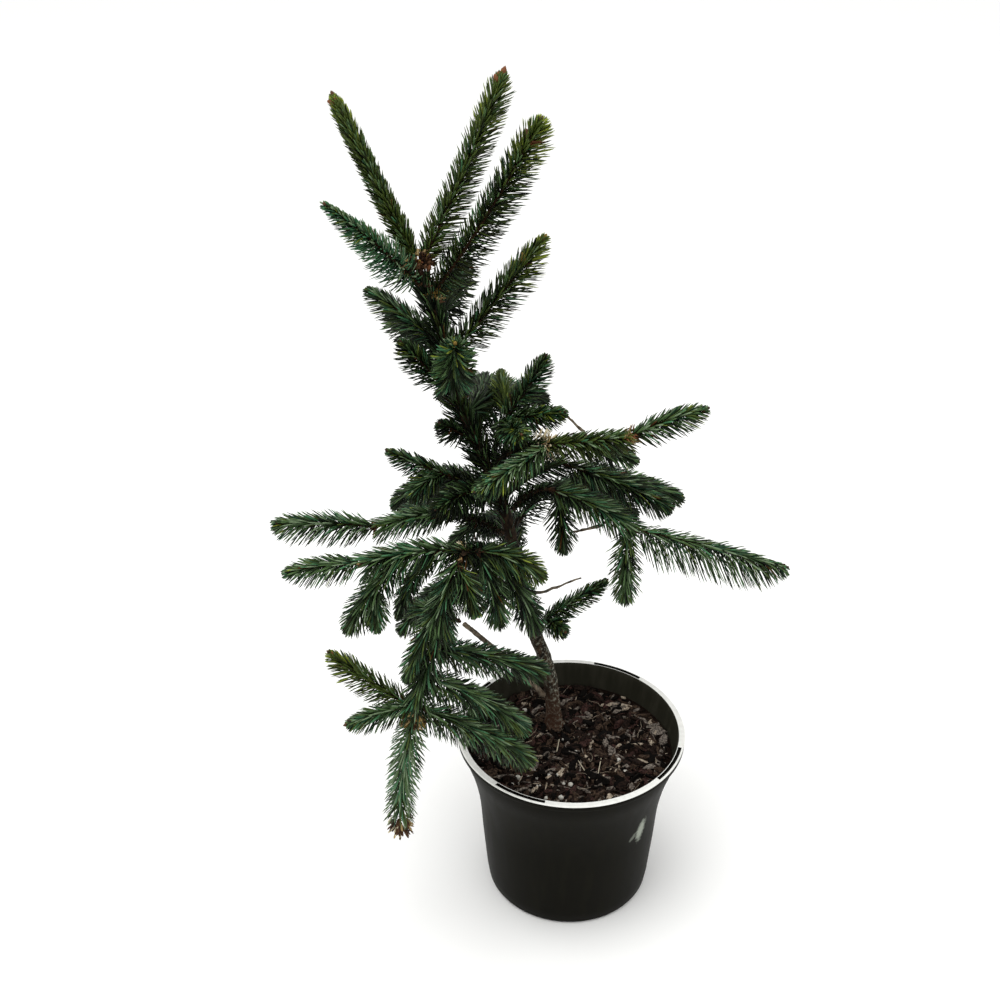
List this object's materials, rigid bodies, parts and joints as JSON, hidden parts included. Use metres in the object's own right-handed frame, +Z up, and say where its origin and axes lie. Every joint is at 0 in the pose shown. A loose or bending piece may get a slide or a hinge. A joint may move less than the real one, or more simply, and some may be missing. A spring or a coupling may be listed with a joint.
{
  "type": "potted weeping spruce",
  "caption": "Young weeping spruce with a leaning trunk, upswept top shoots and drooping, needle-covered branches, growing in a round black plastic nursery pot.",
  "frame": {"origin": "centre of the pot's flat underside", "axes": "+Z up along the pot's axis, -Y the side the plant is shown from, +X to the right seen from there, so that the trunk leans towards -X"},
  "size_m": [0.4715, 0.37, 0.8417],
  "materials": {
    "pot": "satin black nursery plastic",
    "compost": "moist bark-based compost",
    "trunk": "rough grey-brown bark",
    "bough_right_crest": "rough brown bark",
    "bough_right_high": "rough brown bark",
    "bough_right_middle": "rough brown bark",
    "bough_right_long": "rough brown bark",
    "bough_left_high": "rough brown bark",
    "bough_left_long": "rough brown bark",
    "bough_front": "rough brown bark",
    "bough_low_left": "rough brown bark",
    "bough_rear_high": "rough brown bark",
    "bough_rear_left": "rough brown bark",
    "bough_rear_right": "rough brown bark",
    "bough_rear_middle": "rough brown bark",
    "bough_rear_low": "rough brown bark",
    "mass_top_left": "dark green needles",
    "mass_top_centre": "dark green needles",
    "mass_top_right": "dark green needles",
    "mass_upper_left": "dark green needles",
    "mass_left_short": "dark green needles",
    "mass_left_stub": "dark green needles",
    "mass_front_tuft": "dark green needles",
    "mass_upper_right": "dark green needles",
    "mass_upper_rear": "dark green needles",
    "mass_upper_rear_left": "dark green needles",
    "mass_middle_rear": "dark green needles",
    "mass_middle_left": "dark green needles",
    "mass_inner_left": "dark green needles",
    "mass_right_crest": "dark green needles",
    "mass_right_high": "dark green needles",
    "mass_right_middle": "dark green needles",
    "mass_right_long": "dark green needles",
    "mass_right_low": "dark green needles",
    "mass_left_high": "dark green needles",
    "mass_left_long": "dark green needles",
    "mass_front_left": "dark green needles",
    "mass_front_right": "dark green needles",
    "mass_front_hanging": "dark green needles",
    "mass_low_left": "dark green needles",
    "mass_rear_high": "dark green needles",
    "mass_rear_left": "dark green needles",
    "mass_rear_right": "dark green needles",
    "mass_rear_middle": "dark green needles",
    "mass_rear_low": "dark green needles"
  },
  "bodies": {
    "root": {"pot": "pot", "compost": "compost", "trunk": "trunk", "bough_right_crest": "bough_right_crest", "bough_right_high": "bough_right_high", "bough_right_middle": "bough_right_middle", "bough_right_long": "bough_right_long", "bough_left_high": "bough_left_high", "bough_left_long": "bough_left_long", "bough_front": "bough_front", "bough_low_left": "bough_low_left", "bough_rear_high": "bough_rear_high", "bough_rear_left": "bough_rear_left", "bough_rear_right": "bough_rear_right", "bough_rear_middle": "bough_rear_middle", "bough_rear_low": "bough_rear_low", "mass_top_left": "mass_top_left", "mass_top_centre": "mass_top_centre", "mass_top_right": "mass_top_right", "mass_upper_left": "mass_upper_left", "mass_left_short": "mass_left_short", "mass_left_stub": "mass_left_stub", "mass_front_tuft": "mass_front_tuft", "mass_upper_right": "mass_upper_right", "mass_upper_rear": "mass_upper_rear", "mass_upper_rear_left": "mass_upper_rear_left", "mass_middle_rear": "mass_middle_rear", "mass_middle_left": "mass_middle_left", "mass_inner_left": "mass_inner_left", "mass_right_crest": "mass_right_crest", "mass_right_high": "mass_right_high", "mass_right_middle": "mass_right_middle", "mass_right_long": "mass_right_long", "mass_right_low": "mass_right_low", "mass_left_high": "mass_left_high", "mass_left_long": "mass_left_long", "mass_front_left": "mass_front_left", "mass_front_right": "mass_front_right", "mass_front_hanging": "mass_front_hanging", "mass_low_left": "mass_low_left", "mass_rear_high": "mass_rear_high", "mass_rear_left": "mass_rear_left", "mass_rear_right": "mass_rear_right", "mass_rear_middle": "mass_rear_middle", "mass_rear_low": "mass_rear_low"}
  },
  "joints": []
}
